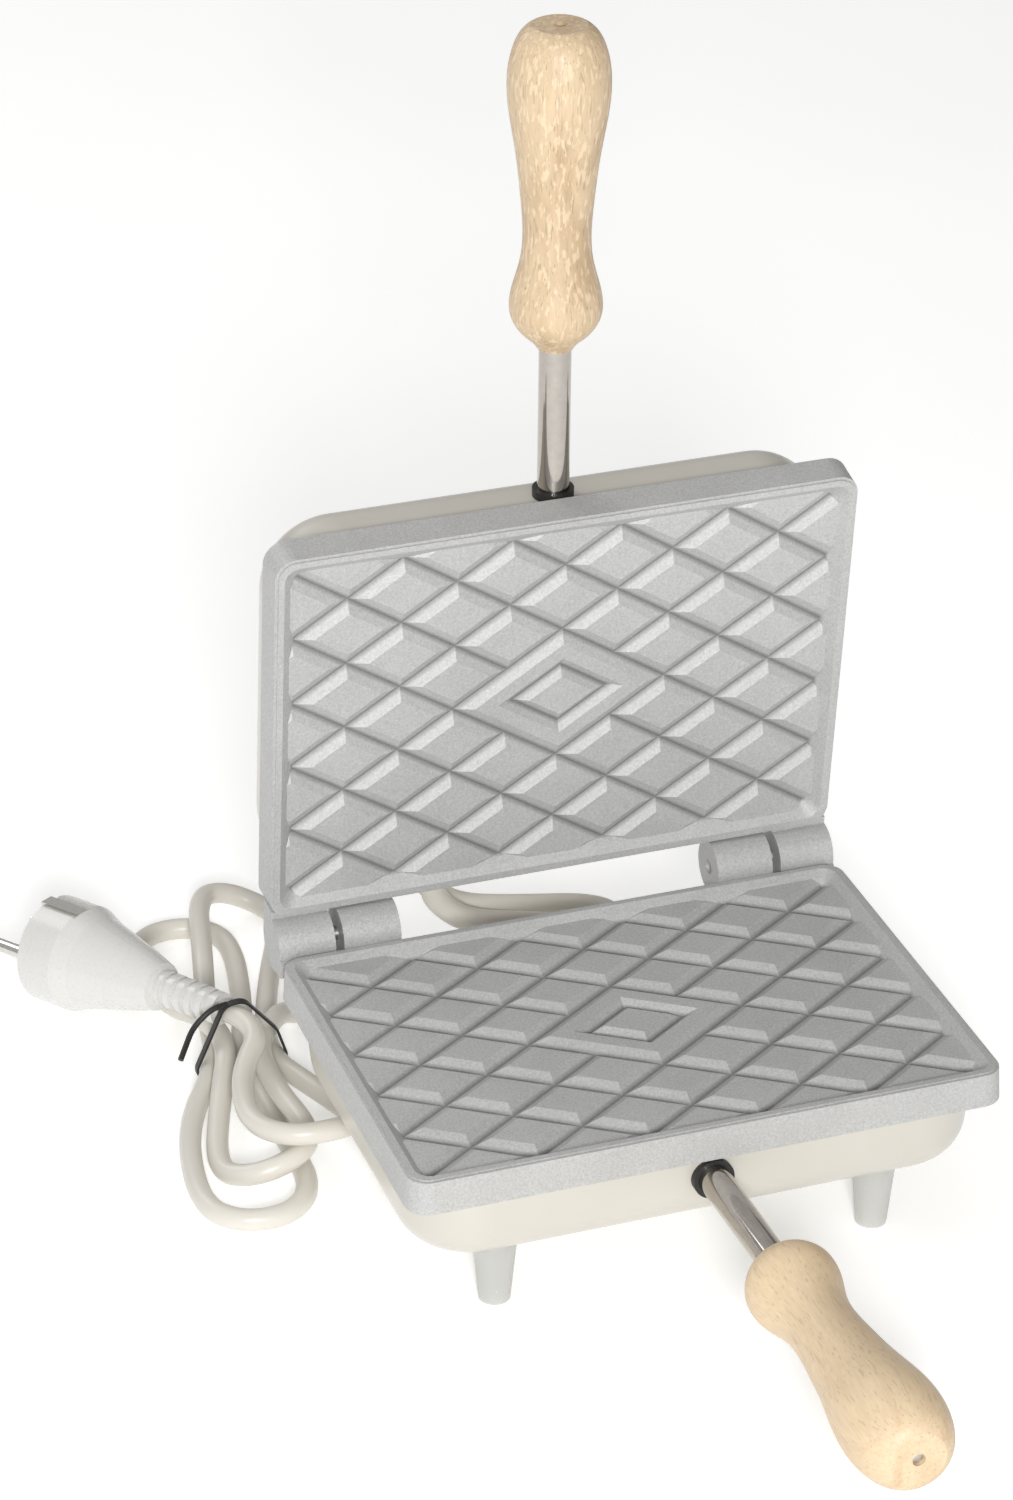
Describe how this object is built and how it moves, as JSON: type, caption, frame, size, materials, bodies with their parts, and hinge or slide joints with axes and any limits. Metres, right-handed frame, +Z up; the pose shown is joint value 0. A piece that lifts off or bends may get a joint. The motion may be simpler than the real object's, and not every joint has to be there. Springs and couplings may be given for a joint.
{
  "type": "pizzelle maker",
  "caption": "Electric pizzelle maker with two hinged patterned cast plates, cream sheet shells, turned wooden handles, clear feet and a tied mains cord.",
  "frame": {"origin": "centre of the resting part's box, on the surface that it stands on", "axes": "+Z up, X along the hinge, handles towards -Y when closed"},
  "size_m": [0.2724, 0.4397, 0.3757],
  "materials": {
    "plate_metal": "sand cast, matte, fine grain",
    "shell_paint": "satin cream enamel",
    "heater_steel": "dull, heat tinted",
    "zinc_steel": "zinc plated",
    "tube_steel": "polished",
    "grip_wood": "turned, clear varnish",
    "bush_black": "matte",
    "tie_black": "matte",
    "foot_clear": "pale translucent",
    "ceramic_white": "unglazed",
    "terminal_brass": "plain",
    "lead_sleeve": "heat resistant silicone",
    "cord_cream": "smooth cream",
    "gland_cream": "cream",
    "plug_white": "moulded white",
    "pin_nickel": "nickel plated"
  },
  "bodies": {
    "base": {"lower_plate": "plate_metal", "lower_shell": "shell_paint", "lower_heater": "heater_steel", "lower_heater_clamp": "zinc_steel", "lower_clamp_screw": "zinc_steel", "thermal_cutout": "ceramic_white", "terminal_block": "ceramic_white", "terminal_screws": "terminal_brass", "lower_inner_leads": "lead_sleeve", "hinge_pins": "zinc_steel", "lower_handle_tube": "tube_steel", "lower_grip": "grip_wood", "lower_handle_bush": "bush_black", "lower_handle_rod": "zinc_steel", "foot_front_left": "foot_clear", "foot_front_right": "foot_clear", "foot_rear_left": "foot_clear", "foot_rear_right": "foot_clear", "foot_screws": "zinc_steel", "jumper_leads": "cord_cream", "lower_jumper_glands": "gland_cream", "cord_gland": "gland_cream", "mains_cord": "cord_cream", "cord_hank": "cord_cream", "cord_tie": "tie_black", "plug_body": "plug_white", "plug_pins": "pin_nickel", "plug_earth_clips": "pin_nickel"},
    "lid": {"upper_plate": "plate_metal", "upper_shell": "shell_paint", "upper_heater": "heater_steel", "upper_heater_clamp": "zinc_steel", "upper_clamp_screw": "zinc_steel", "upper_inner_leads": "lead_sleeve", "upper_handle_tube": "tube_steel", "upper_grip": "grip_wood", "upper_handle_bush": "bush_black", "upper_handle_rod": "zinc_steel", "upper_shell_screws": "zinc_steel", "upper_jumper_glands": "gland_cream"}
  },
  "joints": [
    {"name": "lid_hinge", "type": "hinge", "parent": "base", "child": "lid", "pos_m": [0, 0.13594, 0.0646], "axis": [1, 0, 0], "range_deg": [0, 84], "deforming": ["jumper_leads"]}
  ]
}
